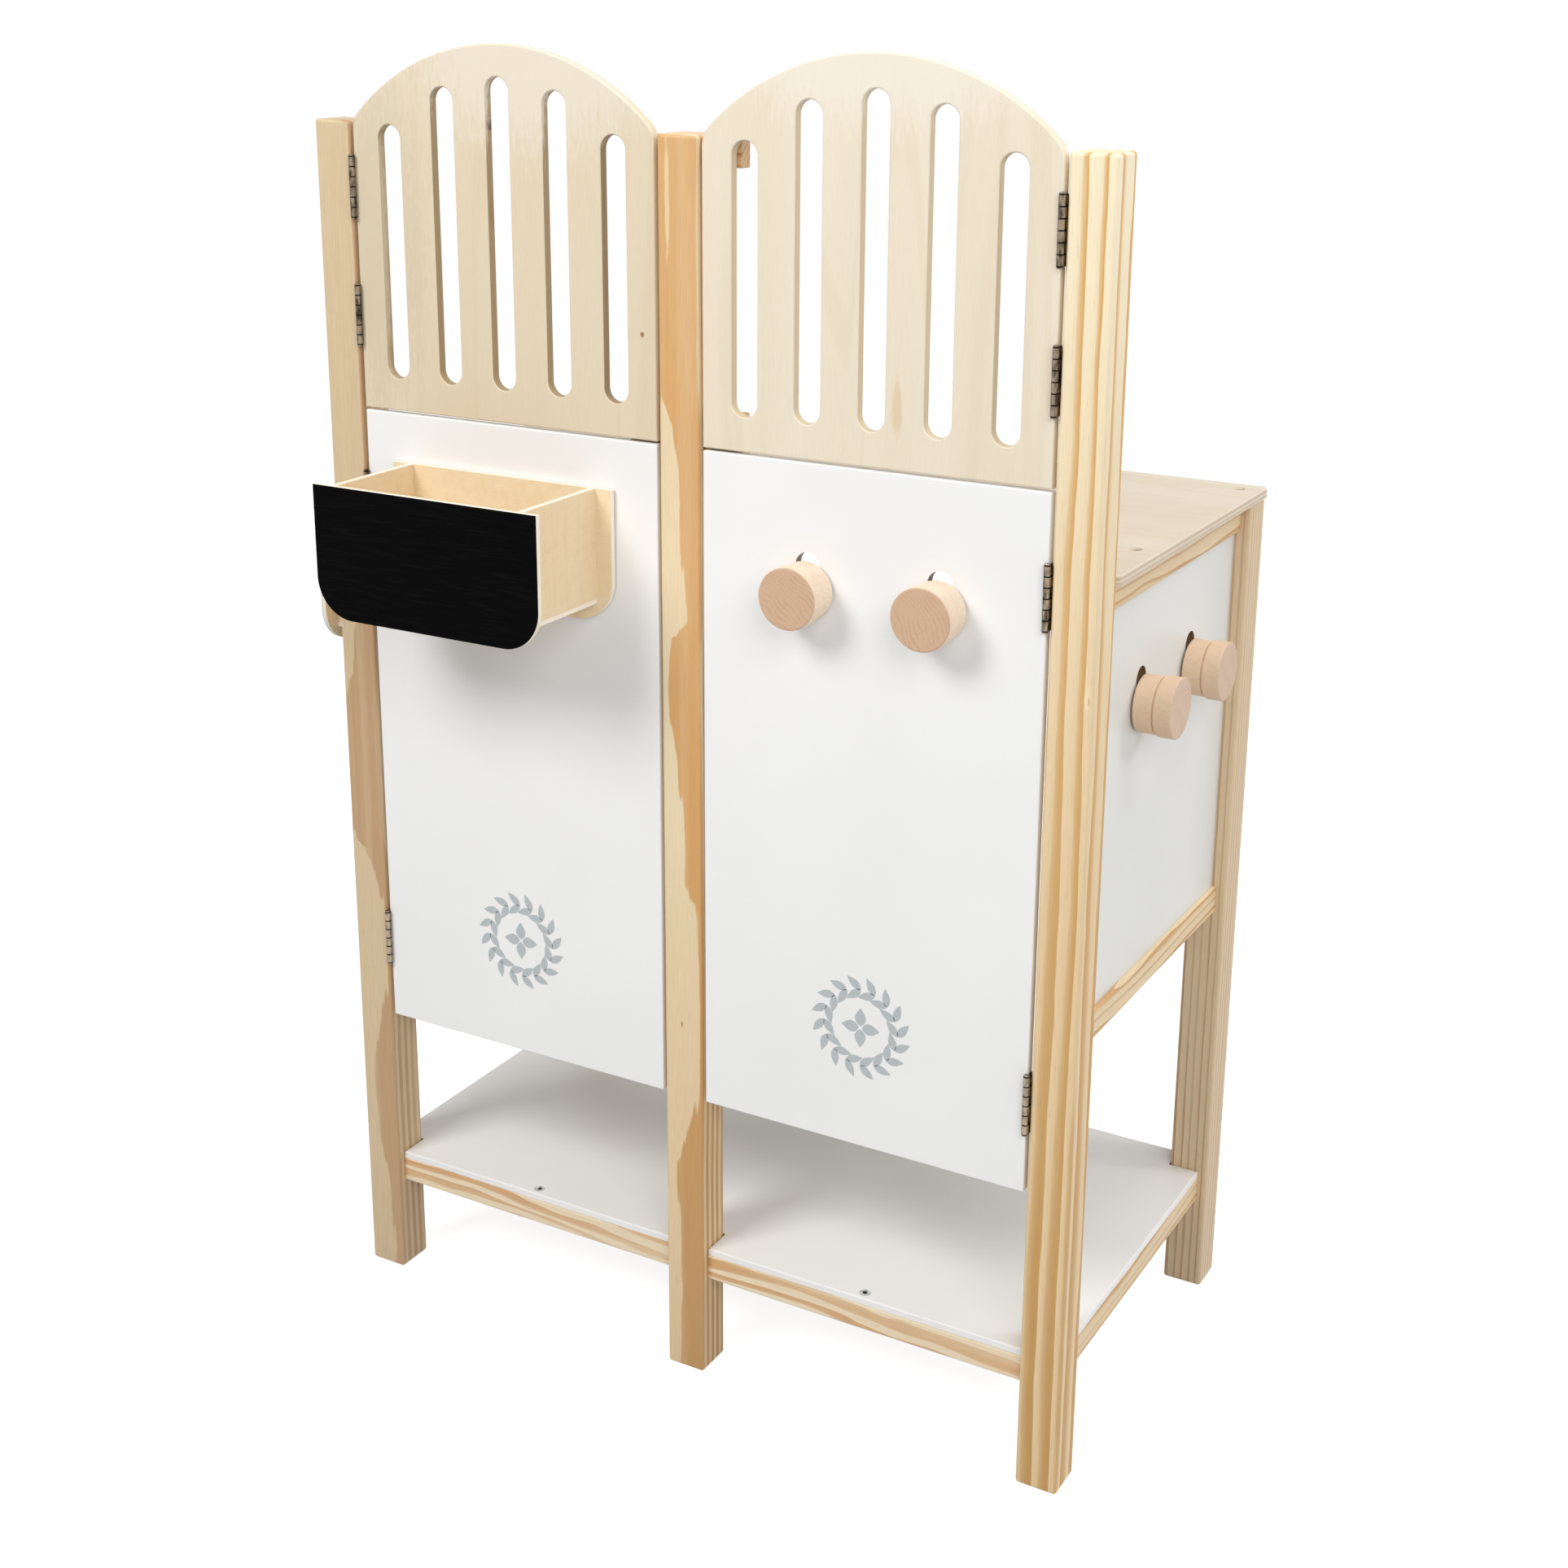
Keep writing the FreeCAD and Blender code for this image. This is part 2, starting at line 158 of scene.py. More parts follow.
def marked(tree, wood, point, marks):
    """Wood with knots, streaks and broad patches, one of them painted shade; each is a centre and half sizes
    in millimetres, a shade and its strength.
    """
    ragged = noise(tree, point, (350, 350, 90))
    for centre, halves, shade, strength in marks:
        offset = vectors(tree, "SUBTRACT", point, Vector(centre) * MM)
        distance = norm(tree, vectors(tree, "DIVIDE", offset, Vector(halves) * MM))
        ragged_distance = maths(tree, "ADD", distance, ragged)
        wood = mixed(tree, spread(tree, ragged_distance, 1.0, 1.6, strength, 0.0), wood, shade)
    return wood


def flow_shift(tree, point, grain, length, places):
    """The rings' shift along the grain, as a smooth curve through the given places."""
    shifts = [shift for place, shift in places]
    low, high = min(shifts), max(shifts)
    along = coordinate(tree, point, grain)
    made = add(tree, "ShaderNodeFloatCurve", {"Value": maths(tree, "DIVIDE", along, length)})
    points = made.mapping.curves[0].points
    while len(points) < len(places):
        points.new(0.5, 0.5)
    for spot, (place, shift) in zip(points, places):
        spot.location = (place / length, (shift - low) / (high - low))
    made.mapping.update()
    return maths(tree, "MULTIPLY_ADD", made.outputs[0], high - low, low)


def pine(name, centre, pith, ring, grain="Z", sway=1.6 * MM, uneven=0.5, strength=1.0, patchy=0.7, flow=None,
         start=None, profile=striped, early=pine_early, late=pine_late, foot=None, marks=(), cloudy=0.3):
    """Pine whose growth rings run round a pith at an offset from the piece's centre, swaying along the grain.

    The flow, where it is given, holds the grain's length and pairs of a place along it and the rings' shift
    there. A ring ends at the start, a distance from the pith. The foot, where it is given, holds a height
    below which the wood is painted darker as painted shade for the weaker light low on the post, how far its
    pale parts turn to the dark, and how far the dark parts broaden.
    """
    material, tree, shader, point = surface(name, Specular_IOR_Level=0.35)
    turn = Euler(GRAIN_TURNS[grain])
    start = start or Vector(pith).length
    place = -(turn.to_matrix() @ (centre + Vector(pith))) - Vector((sway, sway, 0)) / 2
    log = add(tree, "ShaderNodeMapping", {"Vector": point, "Rotation": turn, "Location": place}).outputs[0]
    drift = noise(tree, log, (22, 22, 3), 3.0, "Color")
    swayed = vectors(tree, "MULTIPLY_ADD", drift, (sway, sway, 0), log)
    radius = norm(tree, vectors(tree, "MULTIPLY", swayed, (1, 1, 0)))
    finger_reach = 1.1 * MM
    fingers = noise(tree, log, (260, 260, 20), 3.0)
    radius = maths(tree, "MULTIPLY_ADD", maths(tree, "SUBTRACT", fingers, 0.5), finger_reach, radius)
    radius = maths(tree, "SUBTRACT", radius, start)
    if flow:
        length, places = flow
        radius = maths(tree, "ADD", radius, flow_shift(tree, point, grain, length, places))
    inputs = {"W": radius, "Scale": 0.6 / ring}
    wide = add(tree, "ShaderNodeTexNoise", inputs, noise_dimensions="1D").outputs[0]
    radius = maths(tree, "MULTIPLY_ADD", maths(tree, "SUBTRACT", wide, 0.5), ring * uneven, radius)
    phase = maths(tree, "FRACT", maths(tree, "DIVIDE", radius, ring))
    # Towards the foot the wood is painted darker: painted shade for the weaker light low on the post.
    if foot:
        top, turned, broadened = foot
        broad_to = top * 0.13
        turned_to = top * 0.4
        foot_painted_shade = 0.78
        height = coordinate(tree, point, "Z")
        phase = maths(tree, "POWER", phase, spread(tree, height, broad_to, top, broadened, 1.0))
        early = mixed(tree, spread(tree, height, turned_to, top, turned, 0.0), early, late)
        late = mixed(tree, 1.0, late, spread(tree, height, 0.0, top, foot_painted_shade, 1.0), "MULTIPLY")
    latewood = steps(tree, phase, *profile)
    faded = spread(tree, noise(tree, log, (60, 60, 1.2)), 0.35, 0.6, 1.0 - patchy, 1.0)
    latewood = maths(tree, "MULTIPLY", latewood, maths(tree, "MULTIPLY", faded, strength))
    fibre = noise(tree, log, (1600, 1600, 35), 2.0)
    tone = noise(tree, log, (14, 14, 1.7), 2.0)
    wood = mixed(tree, latewood, early, late)
    wood = mixed(tree, spread(tree, tone, 0.35, 0.75, 0.0, cloudy), wood, mixed(tree, 0.5, early, late))
    wood = mixed(tree, 1.0, wood, spread(tree, fibre, 0.25, 0.75, 0.93, 1.04), "MULTIPLY")
    ducts = spread(tree, noise(tree, log, (1100, 1100, 55), 1.0), 0.68, 0.74, 0.0, 0.3)
    wood = marked(tree, mixed(tree, ducts, wood, late), point, marks)
    tree.links.new(wood, shader.inputs["Base Color"])
    tree.links.new(spread(tree, fibre, 0.2, 0.8, 0.42, 0.56), shader.inputs["Roughness"])
    ridge_share = 0.1
    fibre_depth = 0.08 * MM
    relief(tree, shader, maths(tree, "MULTIPLY_ADD", latewood, ridge_share, fibre), fibre_depth)
    return material


post_low, post_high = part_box("post_front_middle")
post_height = post_high.z
flame_pith = Vector((25, 250, 0)) * MM

# Heights on the front face and the dark wood's left edge there, from the post's middle, in millimetres.
flame_edge = (
    (0, -7), (130, -4), (180, -6), (205, -3), (235, 5), (262, 14), (330, 24), (425, 14), (455, 4), (510, 0.5),
    (580, -7.5), (620, -12), (665, -8), (690, 4.5), (720, 2), (750, -1.5), (790, 0), (830, -5), (885, -18),
    (960, -20), (1058, -18),
)
left_edge = (
    (0, 10), (100, 4), (160, -4), (215, -3), (235, 1), (252, 6), (275, 10), (300, 17), (345, 23), (380, 12),
    (420, -4), (455, -17), (535, -18), (560, -15), (594, -7), (640, 0), (680, 20), (1058, 24),
)
face_distance = flame_pith.y - post_low.y


def flame_flow(edges):
    """The rings' shifts that put the dark wood's left edge at the given places."""
    return post_height, [
        (height * MM, -((edge * MM - flame_pith.x) ** 2) / (face_distance * 2)) for height, edge in edges
    ]


flame_marks = (
    ((-9, -18, 1010), (2.4, 6, 50), colour(240, 220, 180), 0.65),
    ((-1, -18, 330), (1.3, 3, 4), colour(168, 118, 72), 0.8),
)
dress(
    pine("pine_flame", middle("post_front_middle"), flame_pith, 8 * MM, sway=0.3 * MM, uneven=0.0, patchy=0.2,
         flow=flame_flow(flame_edge), start=face_distance, profile=flamed, early=colour(236, 218, 182),
         late=colour(213, 160, 97), foot=(0.6, 0.25, 1.0), marks=flame_marks),
    "post_front_middle",
)
# The left post is given darker pine: partly its own wood, partly painted shade for the dimmer left side.
dress(
    pine("pine_left", middle("post_front_left"), flame_pith, 8.5 * MM, sway=0.6 * MM, uneven=0.0, patchy=0.45,
         flow=flame_flow(left_edge), start=face_distance, profile=flamed, early=colour(215, 193, 157),
         late=colour(188, 151, 112)),
    "post_front_left",
)
stripe_marks = (
    ((345, -18, 672), (2.2, 4, 11), colour(243, 226, 186), 0.8),
    ((346.5, -18, 671), (0.8, 3, 4), colour(206, 156, 92), 0.7),
)
dress(
    pine("pine_striped", middle("post_front_right"), (-0.072, 0.055, 0), 10.5 * MM, sway=9 * MM, uneven=0.6,
         patchy=0.15, early=colour(248, 236, 205), late=colour(216, 166, 93), foot=(1.12, 0.46, 0.28),
         marks=stripe_marks, cloudy=0.12),
    "post_front_right",
)
dress(
    pine("pine_fine", middle("post_back_right"), (-0.1, 0.1, 0), 4.4 * MM, patchy=0.5,
         early=colour(223, 200, 166), late=colour(186, 147, 106)),
    "post_back_right",
)
dress(
    pine("pine_fine_left", middle("post_back_left"), (0.09, 0.1, 0), 5.5 * MM, strength=0.8),
    "post_back_left",
)


# Rails and door stops: the same pine in 18 x 24 mm lengths, housed between the posts, and small blocks glued
# to the middle post behind the doors.

front_rail_early = colour(241, 224, 193)
front_rail_late = colour(213, 168, 117)
side_rail_early = colour(233, 210, 171)
side_rail_late = colour(200, 151, 96)
# The stops' pine is painted darker than the rails': painted shade for the shade behind the doors.
shaded_stop_early = colour(214, 184, 146)
shaded_stop_late = colour(176, 126, 82)
for side, front_depth in (("left", 0.105), ("right", 0.12)):
    front_rail = "rail_front_" + side
    front_pine = pine("pine_" + front_rail, middle(front_rail), (0, 0.05, -front_depth), 13 * MM, "X",
                      sway=52 * MM, profile=flamed, early=front_rail_early, late=front_rail_late, patchy=0.5)
    dress(front_pine, front_rail)
    for level, depth in (("bottom", 0.09), ("middle", 0.11), ("top", 0.08)):
        side_rail = "rail_side_" + level + "_" + side
        side_pine = pine("pine_" + side_rail, middle(side_rail), (0.04, 0, -depth), 10 * MM, "Y",
                         sway=34 * MM, early=side_rail_early, late=side_rail_late, patchy=0.4)
        dress(side_pine, side_rail)
    for level in ("top", "split"):
        stop = "stop_" + level + "_" + side
        stop_pine = pine("pine_" + stop, middle(stop), (0, 0.05, -0.04), 5 * MM, "X", early=shaded_stop_early,
                         late=shaded_stop_late)
        dress(stop_pine, stop)
for level, depth in (("bottom", 0.06), ("top", 0.075)):
    back_rail = "rail_back_" + level
    back_pine = pine("pine_" + back_rail, middle(back_rail), (0, -0.04, -depth), 10 * MM, "X", sway=16 * MM)
    dress(back_pine, back_rail)


# Bottom shelf: a thin board lacquered white, notched round the posts and laid on the bottom rails.
# Countersunk steel screws hold it to the front and back rails.

fibreboard = colour(132, 104, 74)


def within(tree, point, low, high):
    """1 inside a box, else 0."""
    offset = vectors(tree, "ABSOLUTE", vectors(tree, "SUBTRACT", point, (low + high) / 2))
    share = vectors(tree, "DIVIDE", offset, (high - low) / 2)
    along_x, along_y, along_z = (coordinate(tree, share, axis) for axis in "XYZ")
    furthest = maths(tree, "MAXIMUM", maths(tree, "MAXIMUM", along_x, along_y), along_z)
    return maths(tree, "LESS_THAN", furthest, 1.0)


def lacquer(name, shade, board, face_inset, edge_inset):
    """Sprayed satin lacquer with a faint orange peel, and bare board in holes, inside the faces and edges."""
    material, tree, shader, point = surface(name, Specular_IOR_Level=0.4)
    cloud = noise(tree, point, (7, 7, 7), 3.0)
    coat = mixed(tree, spread(tree, cloud, 0.3, 0.7), shade, toned(shade, 0.975, 0.975, 0.975))
    low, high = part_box(board)
    thinnest = min(high - low)
    insets = Vector([face_inset if size == thinnest else edge_inset for size in high - low])
    coat = mixed(tree, within(tree, point, low + insets, high - insets), coat, fibreboard)
    tree.links.new(coat, shader.inputs["Base Color"])
    tree.links.new(spread(tree, cloud, 0.3, 0.7, 0.36, 0.46), shader.inputs["Roughness"])
    peel_depth = 0.03 * MM
    relief(tree, shader, noise(tree, point, (420, 420, 420), 1.0), peel_depth)
    return material


def steel(name, shade, dark, roughness):
    """Plated steel, with fine streaks and a darker bloom."""
    material, tree, shader, point = surface(name, Metallic=1.0)
    bloom = noise(tree, point, (260, 260, 90), 3.0)
    tree.links.new(mixed(tree, spread(tree, bloom, 0.35, 0.7), shade, dark), shader.inputs["Base Color"])
    streak = noise(tree, point, (2500, 2500, 300), 2.0)
    low, high = roughness
    tree.links.new(spread(tree, streak, 0.2, 0.8, low, high), shader.inputs["Roughness"])
    streak_depth = 0.01 * MM
    relief(tree, shader, streak, streak_depth)
    return material


def geometry(name, *sizes):
    """An empty Geometry Nodes tree with named sizes; gives its input and output nodes too."""
    tree = bpy.data.node_groups.new(name, "GeometryNodeTree")
    tree.interface.new_socket("Geometry", in_out="INPUT", socket_type="NodeSocketGeometry")
    for size in sizes:
        tree.interface.new_socket(size, in_out="INPUT", socket_type="NodeSocketFloat")
    tree.interface.new_socket("Geometry", in_out="OUTPUT", socket_type="NodeSocketGeometry")
    return tree, add(tree, "NodeGroupInput", {}).outputs, add(tree, "NodeGroupOutput", {})


def circle(tree, sides, radius):
    inputs = {"Resolution": sides, "Radius": radius}
    return add(tree, "GeometryNodeCurvePrimitiveCircle", inputs).outputs["Curve"]


def joined(tree, *parts):
    made = add(tree, "GeometryNodeJoinGeometry", {})
    for part in parts:
        tree.links.new(part, made.inputs[0])
    return made.outputs[0]


def coated(tree, part, material):
    return add(tree, "GeometryNodeSetMaterial", {"Geometry": part, "Material": material}).outputs[0]


def scattered(tree, points, piece):
    """Real copies of a piece, one on each point."""
    copies = add(tree, "GeometryNodeInstanceOnPoints", {"Points": points, "Instance": piece})
    return add(tree, "GeometryNodeRealizeInstances", {"Geometry": copies.outputs[0]}).outputs[0]


def grown(name, tree, points, sizes, body):
    """A plain mesh grown by a tree on points, riding on a body."""
    seeds = bpy.data.meshes.new(name + "_seeds")
    seeds.from_pydata(points, [], [])
    bed = bpy.data.objects.new(name + "_bed", seeds)
    bpy.context.scene.collection.objects.link(bed)
    modifier = bed.modifiers.new("grow", "NODES")
    modifier.node_group = tree
    for item in tree.interface.items_tree:
        if item.in_out == "INPUT" and item.name in sizes:
            modifier[item.identifier] = sizes[item.name]
    grown_bed = bed.evaluated_get(bpy.context.evaluated_depsgraph_get())
    mesh = bpy.data.meshes.new_from_object(grown_bed)
    bpy.data.objects.remove(bed)
    piece = bpy.data.objects.new(name, mesh)
    bpy.context.scene.collection.objects.link(piece)
    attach(piece, body)


hole_face_inset = 0.3 * MM
hole_edge_inset = 4 * MM
shelf_edge_inset = 20 * MM
shelf_shade = colour(243, 242, 239)
shelf_white = lacquer("shelf_white", shelf_shade, "bottom_shelf", hole_face_inset, shelf_edge_inset)
dress(shelf_white, "bottom_shelf")

screw_steel = steel("screw_steel", colour(214, 214, 210), colour(150, 150, 146), (0.22, 0.38))
# The socket floor is painted near black: painted shade in the socket's recess.
socket_painted_shade = steel("socket_painted_shade", colour(52, 54, 50), colour(24, 26, 24), (0.4, 0.6))
head_sides = 40
socket_sides = 6
socket_floor_share = 0.2
weld_distance = 0.01 * MM
screws, sizes, made = geometry("countersunk_screws", "Head Radius", "Head Height", "Socket Radius")
head_edge = circle(screws, head_sides, sizes["Head Radius"])
socket_edge = circle(screws, socket_sides, sizes["Socket Radius"])
washer = add(screws, "GeometryNodeFillCurve", {"Curve": joined(screws, head_edge, socket_edge)}).outputs[0]
inputs = {"Mesh": washer, "Offset Scale": sizes["Head Height"]}
head = add(screws, "GeometryNodeExtrudeMesh", inputs).outputs["Mesh"]
underside = add(screws, "GeometryNodeFlipFaces", {"Mesh": washer}).outputs["Mesh"]
inputs = {"Geometry": joined(screws, head, underside), "Distance": weld_distance}
closed_head = add(screws, "GeometryNodeMergeByDistance", inputs).outputs[0]
socket_fill = add(screws, "GeometryNodeFillCurve", {"Curve": socket_edge}).outputs[0]
socket_height = maths(screws, "MULTIPLY", sizes["Head Height"], socket_floor_share)
socket_lift = add(screws, "ShaderNodeCombineXYZ", {"Z": socket_height}).outputs[0]
inputs = {"Geometry": socket_fill, "Translation": socket_lift}
socket_floor = add(screws, "GeometryNodeTransform", inputs).outputs[0]
bright = coated(screws, closed_head, screw_steel)
dark = coated(screws, socket_floor, socket_painted_shade)
screws.links.new(scattered(screws, sizes["Geometry"], joined(screws, bright, dark)), made.inputs[0])

shelf_sink_depth = 1.2 * MM
shelf_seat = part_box("bottom_shelf")[1].z - shelf_sink_depth
shelf_screws = [
    (middle(rail).x, middle(rail_row).y, shelf_seat)
    for rail in ("rail_front_left", "rail_front_right")
    for rail_row in ("rail_front_left", "rail_back_bottom")
]
screw_sizes = {"Head Radius": 5.0 * MM, "Head Height": 0.8 * MM, "Socket Radius": 2.3 * MM}
grown("shelf_screws", screws, shelf_screws, screw_sizes, "frame")


# Side panels: white boards as thick as the doors, set in grooves of the posts and rails, with two keyholes.
# Their lacquer is painted a shade greyer than the doors': painted shade for the weaker light on the sides.

shaded_panel_white = colour(229, 229, 225)
for side in ("left", "right"):
    panel = "side_panel_" + side
    dress(lacquer("white_" + panel, shaded_panel_white, panel, hole_face_inset, hole_edge_inset), panel)


# Top board: 9 mm ply with a pale, faintly pink face whose grain runs along the front, its edges left bare.
# It rests on the back posts and the top rails, held by countersunk screws.


def spread_linear(tree, value, low, high):
    return add(tree, "ShaderNodeMapRange", {0: value, 1: low, 2: high}).outputs[0]


def grained(tree, point, run, count, detail=2.0):
    """Noise drawn out along the grain, where run holds its shares along X, Y and Z."""
    return noise(tree, point, tuple(count * share for share in run), detail)


def ply(name, across, low, thickness, inner_plies, face, cross, grain, figure=0.5, marks=(), routed=None,
        skin=0.17, glued=0.3, curly=0.0):
    """Plywood: a face figure drawn out along the grain, and inner plies that show as bands on cut edges.

    The skin is a face veneer's share of the thickness. Where it is given, routed holds the box and the circle
    inside which the slot walls are multiplied by a painted shade for the light and shade on them, and that
    shade.
    """
    material, tree, shader, point = surface(name, Specular_IOR_Level=0.35)
    grain_share = 0.07
    run = tuple(grain_share if axis == grain else 1.0 for axis in "XYZ")
    contour_turns = 70.0
    contour = maths(tree, "SINE", maths(tree, "MULTIPLY", grained(tree, point, run, 9), contour_turns))
    fibre = grained(tree, point, run, 1100)
    tone = grained(tree, point, run, 12)
    deep = toned(face, 0.88, 0.82, 0.72)
    veneer = mixed(tree, spread(tree, contour, 0.5, 1.0, 0.0, 0.5 * figure), face, deep)
    veneer = mixed(tree, spread(tree, tone, 0.35, 0.75, 0.0, 0.7 * figure), veneer, deep)
    veneer = mixed(tree, 1.0, veneer, spread(tree, fibre, 0.25, 0.75, 0.975, 1.015), "MULTIPLY")
    curl = noise(tree, point, tuple(180 - 80 * share for share in run), 3.0)
    veneer = mixed(tree, spread(tree, curl, 0.48, 0.68, 0.0, curly), veneer, deep)
    pores = spread(tree, grained(tree, point, run, 700, 1.0), 0.66, 0.74, 0.0, 0.18)
    veneer = mixed(tree, pores, veneer, cross)
    wave_reach = 0.4 * MM
    wave = maths(tree, "SUBTRACT", noise(tree, point, (60, 60, 60)), 0.5)
    depth = maths(tree, "MULTIPLY_ADD", wave, wave_reach, coordinate(tree, point, across))
    share = spread_linear(tree, depth, low, low + thickness)
    past_skin = maths(tree, "GREATER_THAN", share, skin)
    inside = maths(tree, "MULTIPLY", past_skin, maths(tree, "LESS_THAN", share, 1 - skin))
    count = maths(tree, "MULTIPLY", maths(tree, "SUBTRACT", share, skin), inner_plies / (1 - skin * 2))
    band = maths(tree, "LESS_THAN", maths(tree, "FRACT", maths(tree, "MULTIPLY", count, 0.5)), 0.5)
    band_strength = 0.85
    crosswise = maths(tree, "MULTIPLY", maths(tree, "MULTIPLY", inside, band), band_strength)
    glue = maths(tree, "ABSOLUTE", maths(tree, "SUBTRACT", maths(tree, "FRACT", count), 0.5))
    glue = maths(tree, "MULTIPLY", inside, spread(tree, glue, 0.42, 0.49, 0.0, glued))
    end_grain = mixed(tree, spread(tree, noise(tree, point, (900, 900, 900)), 0.2, 0.8), cross, face)
    end_share = 0.35
    wood = mixed(tree, crosswise, veneer, mixed(tree, end_share, cross, end_grain))
    wood = mixed(tree, glue, wood, toned(cross, 0.55, 0.55, 0.55))
    if routed:
        box_low, box_high, centre, reach, wall_painted_shade = routed
        spoke = vectors(tree, "MULTIPLY", vectors(tree, "SUBTRACT", point, centre), (1, 0, 1))
        in_circle = maths(tree, "LESS_THAN", norm(tree, spoke), reach)
        walls = maths(tree, "MULTIPLY", in_circle, within(tree, point, box_low, box_high))
        shaded_wall_wood = mixed(tree, 1.0, mixed(tree, crosswise, wood, cross), wall_painted_shade, "MULTIPLY")
        wood = mixed(tree, walls, wood, shaded_wall_wood)
    wood = marked(tree, wood, point, marks)
    tree.links.new(wood, shader.inputs["Base Color"])
    tree.links.new(spread(tree, fibre, 0.2, 0.8, 0.45, 0.6), shader.inputs["Roughness"])
    fibre_depth = 0.06 * MM
    relief(tree, shader, fibre, fibre_depth)
    return material


board_face = colour(228, 215, 197)
board_cross = colour(196, 176, 148)
board_low, board_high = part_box("top_board")
board_ply = ply("board_ply", "Z", board_low.z, board_high.z - board_low.z, 3, board_face, board_cross, "X",
                figure=0.6)
dress(board_ply, "top_board")

board_screw_y = 101 * MM
back_post = middle("post_back_right")
board_sink_depth = 3 * MM
board_seat = board_high.z - board_sink_depth
board_screws = [
    (side * back_post.x, y, board_seat) for side in (-1, 1) for y in (board_screw_y, back_post.y)
]
grown("board_screws", screws, board_screws, screw_sizes, "frame")


# Upper doors: 9 mm ply, arched and cut with five round-ended slots, all edges rounded so that the plies show.
# The face veneer is cream with a faint upright figure and a few pin knots.

door_cross = colour(226, 212, 186)
arch_radius = 201.7 * MM
edge_inset = 9 * MM
face_inset = 0.6 * MM
door_marks_and_shade = {
    "left": (
        ((-177, -11.5, 1058), (4, 4, 5), colour(74, 50, 30), 0.9),
        ((-177, -11.5, 992), (4, 4, 16), colour(150, 115, 75), 0.5),
        ((-33, -17, 906), (2, 3, 2.6), colour(150, 102, 62), 0.9),
        ((-130, -17, 1120), (140, 8, 90), colour(231, 221, 204), 0.8),
        # A broad darker patch along the left door's left side is painted shade.
        ((-285, -17, 960), (50, 8, 150), colour(208, 194, 166), 0.7),
    ),
    "right": (
        ((187, -17, 869), (5, 4, 24), colour(216, 184, 136), 0.5),
        ((170, -17, 1130), (150, 8, 70), colour(237, 228, 212), 0.8),
    ),
}
# The left door's face is given darker: partly its own veneer, partly painted shade for the dimmer left side.
door_faces = {"left": colour(225, 211, 185), "right": colour(233, 222, 201)}
# The slot walls get a painted shade, darker in the left door's slots and near white in the right's.
slot_painted_shades = {"left": colour(184, 170, 148), "right": colour(234, 228, 216)}
for side, marks in door_marks_and_shade.items():
    low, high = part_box("upper_door_" + side)
    inset = Vector((edge_inset, face_inset, edge_inset))
    arch_centre = Vector((middle("upper_door_" + side).x, 0, high.z - arch_radius))
    routed = (low + inset, high - inset, arch_centre, arch_radius - edge_inset, slot_painted_shades[side])
    door_ply = ply("door_ply_" + side, "Y", low.y, high.y - low.y, 3, door_faces[side], door_cross, "Z",
                   figure=0.5, marks=marks, routed=routed)
    dress(door_ply, "upper_door_" + side)


# Lower doors: plain boards lacquered white, with two keyholes near the top and a small grey print below.
# The print is a ring of leaves about a clover, in one flat ink.

door_white = colour(243, 243, 242)
for side in ("left", "right"):
    door = "lower_door_" + side
    dress(lacquer("white_" + door, door_white, door, hole_face_inset, hole_edge_inset), door)

ink_dark = colour(178, 185, 187)
ink_pale = colour(194, 200, 201)
ink, ink_tree, ink_shader, ink_point = surface("print_grey", Specular_IOR_Level=0.3)
speckle = noise(ink_tree, ink_point, (1800, 1800, 1800), 1.0)
ink_shade = mixed(ink_tree, spread(ink_tree, speckle, 0.3, 0.75), ink_dark, ink_pale)
ink_tree.links.new(ink_shade, ink_shader.inputs["Base Color"])
ink_tree.links.new(spread(ink_tree, speckle, 0.3, 0.7, 0.45, 0.6), ink_shader.inputs["Roughness"])

wreath, sizes, made = geometry("leaf_wreath", "Ring Radius", "Leaf Length", "Leaf Width", "Clover Length")


def leaf(length, width):
    """A flat leaf along X, pointed at both ends and broadest a little before its middle."""
    spine_points = 13
    broadest_early = 0.8
    spine = add(wreath, "GeometryNodeCurvePrimitiveLine", {"End": (1, 0, 0)})
    spine = add(wreath, "GeometryNodeResampleCurve", {"Curve": spine.outputs[0], "Count": spine_points})
    along = add(wreath, "GeometryNodeSplineParameter", {}).outputs["Factor"]
    bulge = maths(wreath, "MULTIPLY", maths(wreath, "POWER", along, broadest_early), math.pi)
    bulge = maths(wreath, "SINE", bulge)
    breadth = add(wreath, "GeometryNodeCurvePrimitiveLine", {"Start": (-0.5, 0, 0), "End": (0.5, 0, 0)})
    inputs = {"Curve": spine.outputs[0], "Profile Curve": breadth.outputs[0], "Scale": bulge}
    blade = add(wreath, "GeometryNodeCurveToMesh", inputs)
    scale = add(wreath, "ShaderNodeCombineXYZ", {"X": length, "Y": width, "Z": 1.0})
    inputs = {"Geometry": blade.outputs[0], "Scale": scale.outputs[0]}
    return add(wreath, "GeometryNodeTransform", inputs).outputs[0]


def ring_of(count, radius, piece, lean):
    """Copies of a piece round a circle, each leaning from the circle's tangent."""
    ring = circle(wreath, count, radius)
    spots = add(wreath, "GeometryNodeCurveToPoints", {"Curve": ring}, mode="EVALUATED")
    turned = add(wreath, "FunctionNodeAlignRotationToVector", {"Vector": spots.outputs["Tangent"]}, axis="X",
                 pivot_axis="Z")
    inputs = {"Points": spots.outputs["Points"], "Instance": piece, "Rotation": turned.outputs[0]}
    copies = add(wreath, "GeometryNodeInstanceOnPoints", inputs)
    inputs = {"Instances": copies.outputs[0], "Rotation": (0, 0, lean)}
    return add(wreath, "GeometryNodeRotateInstances", inputs).outputs[0]


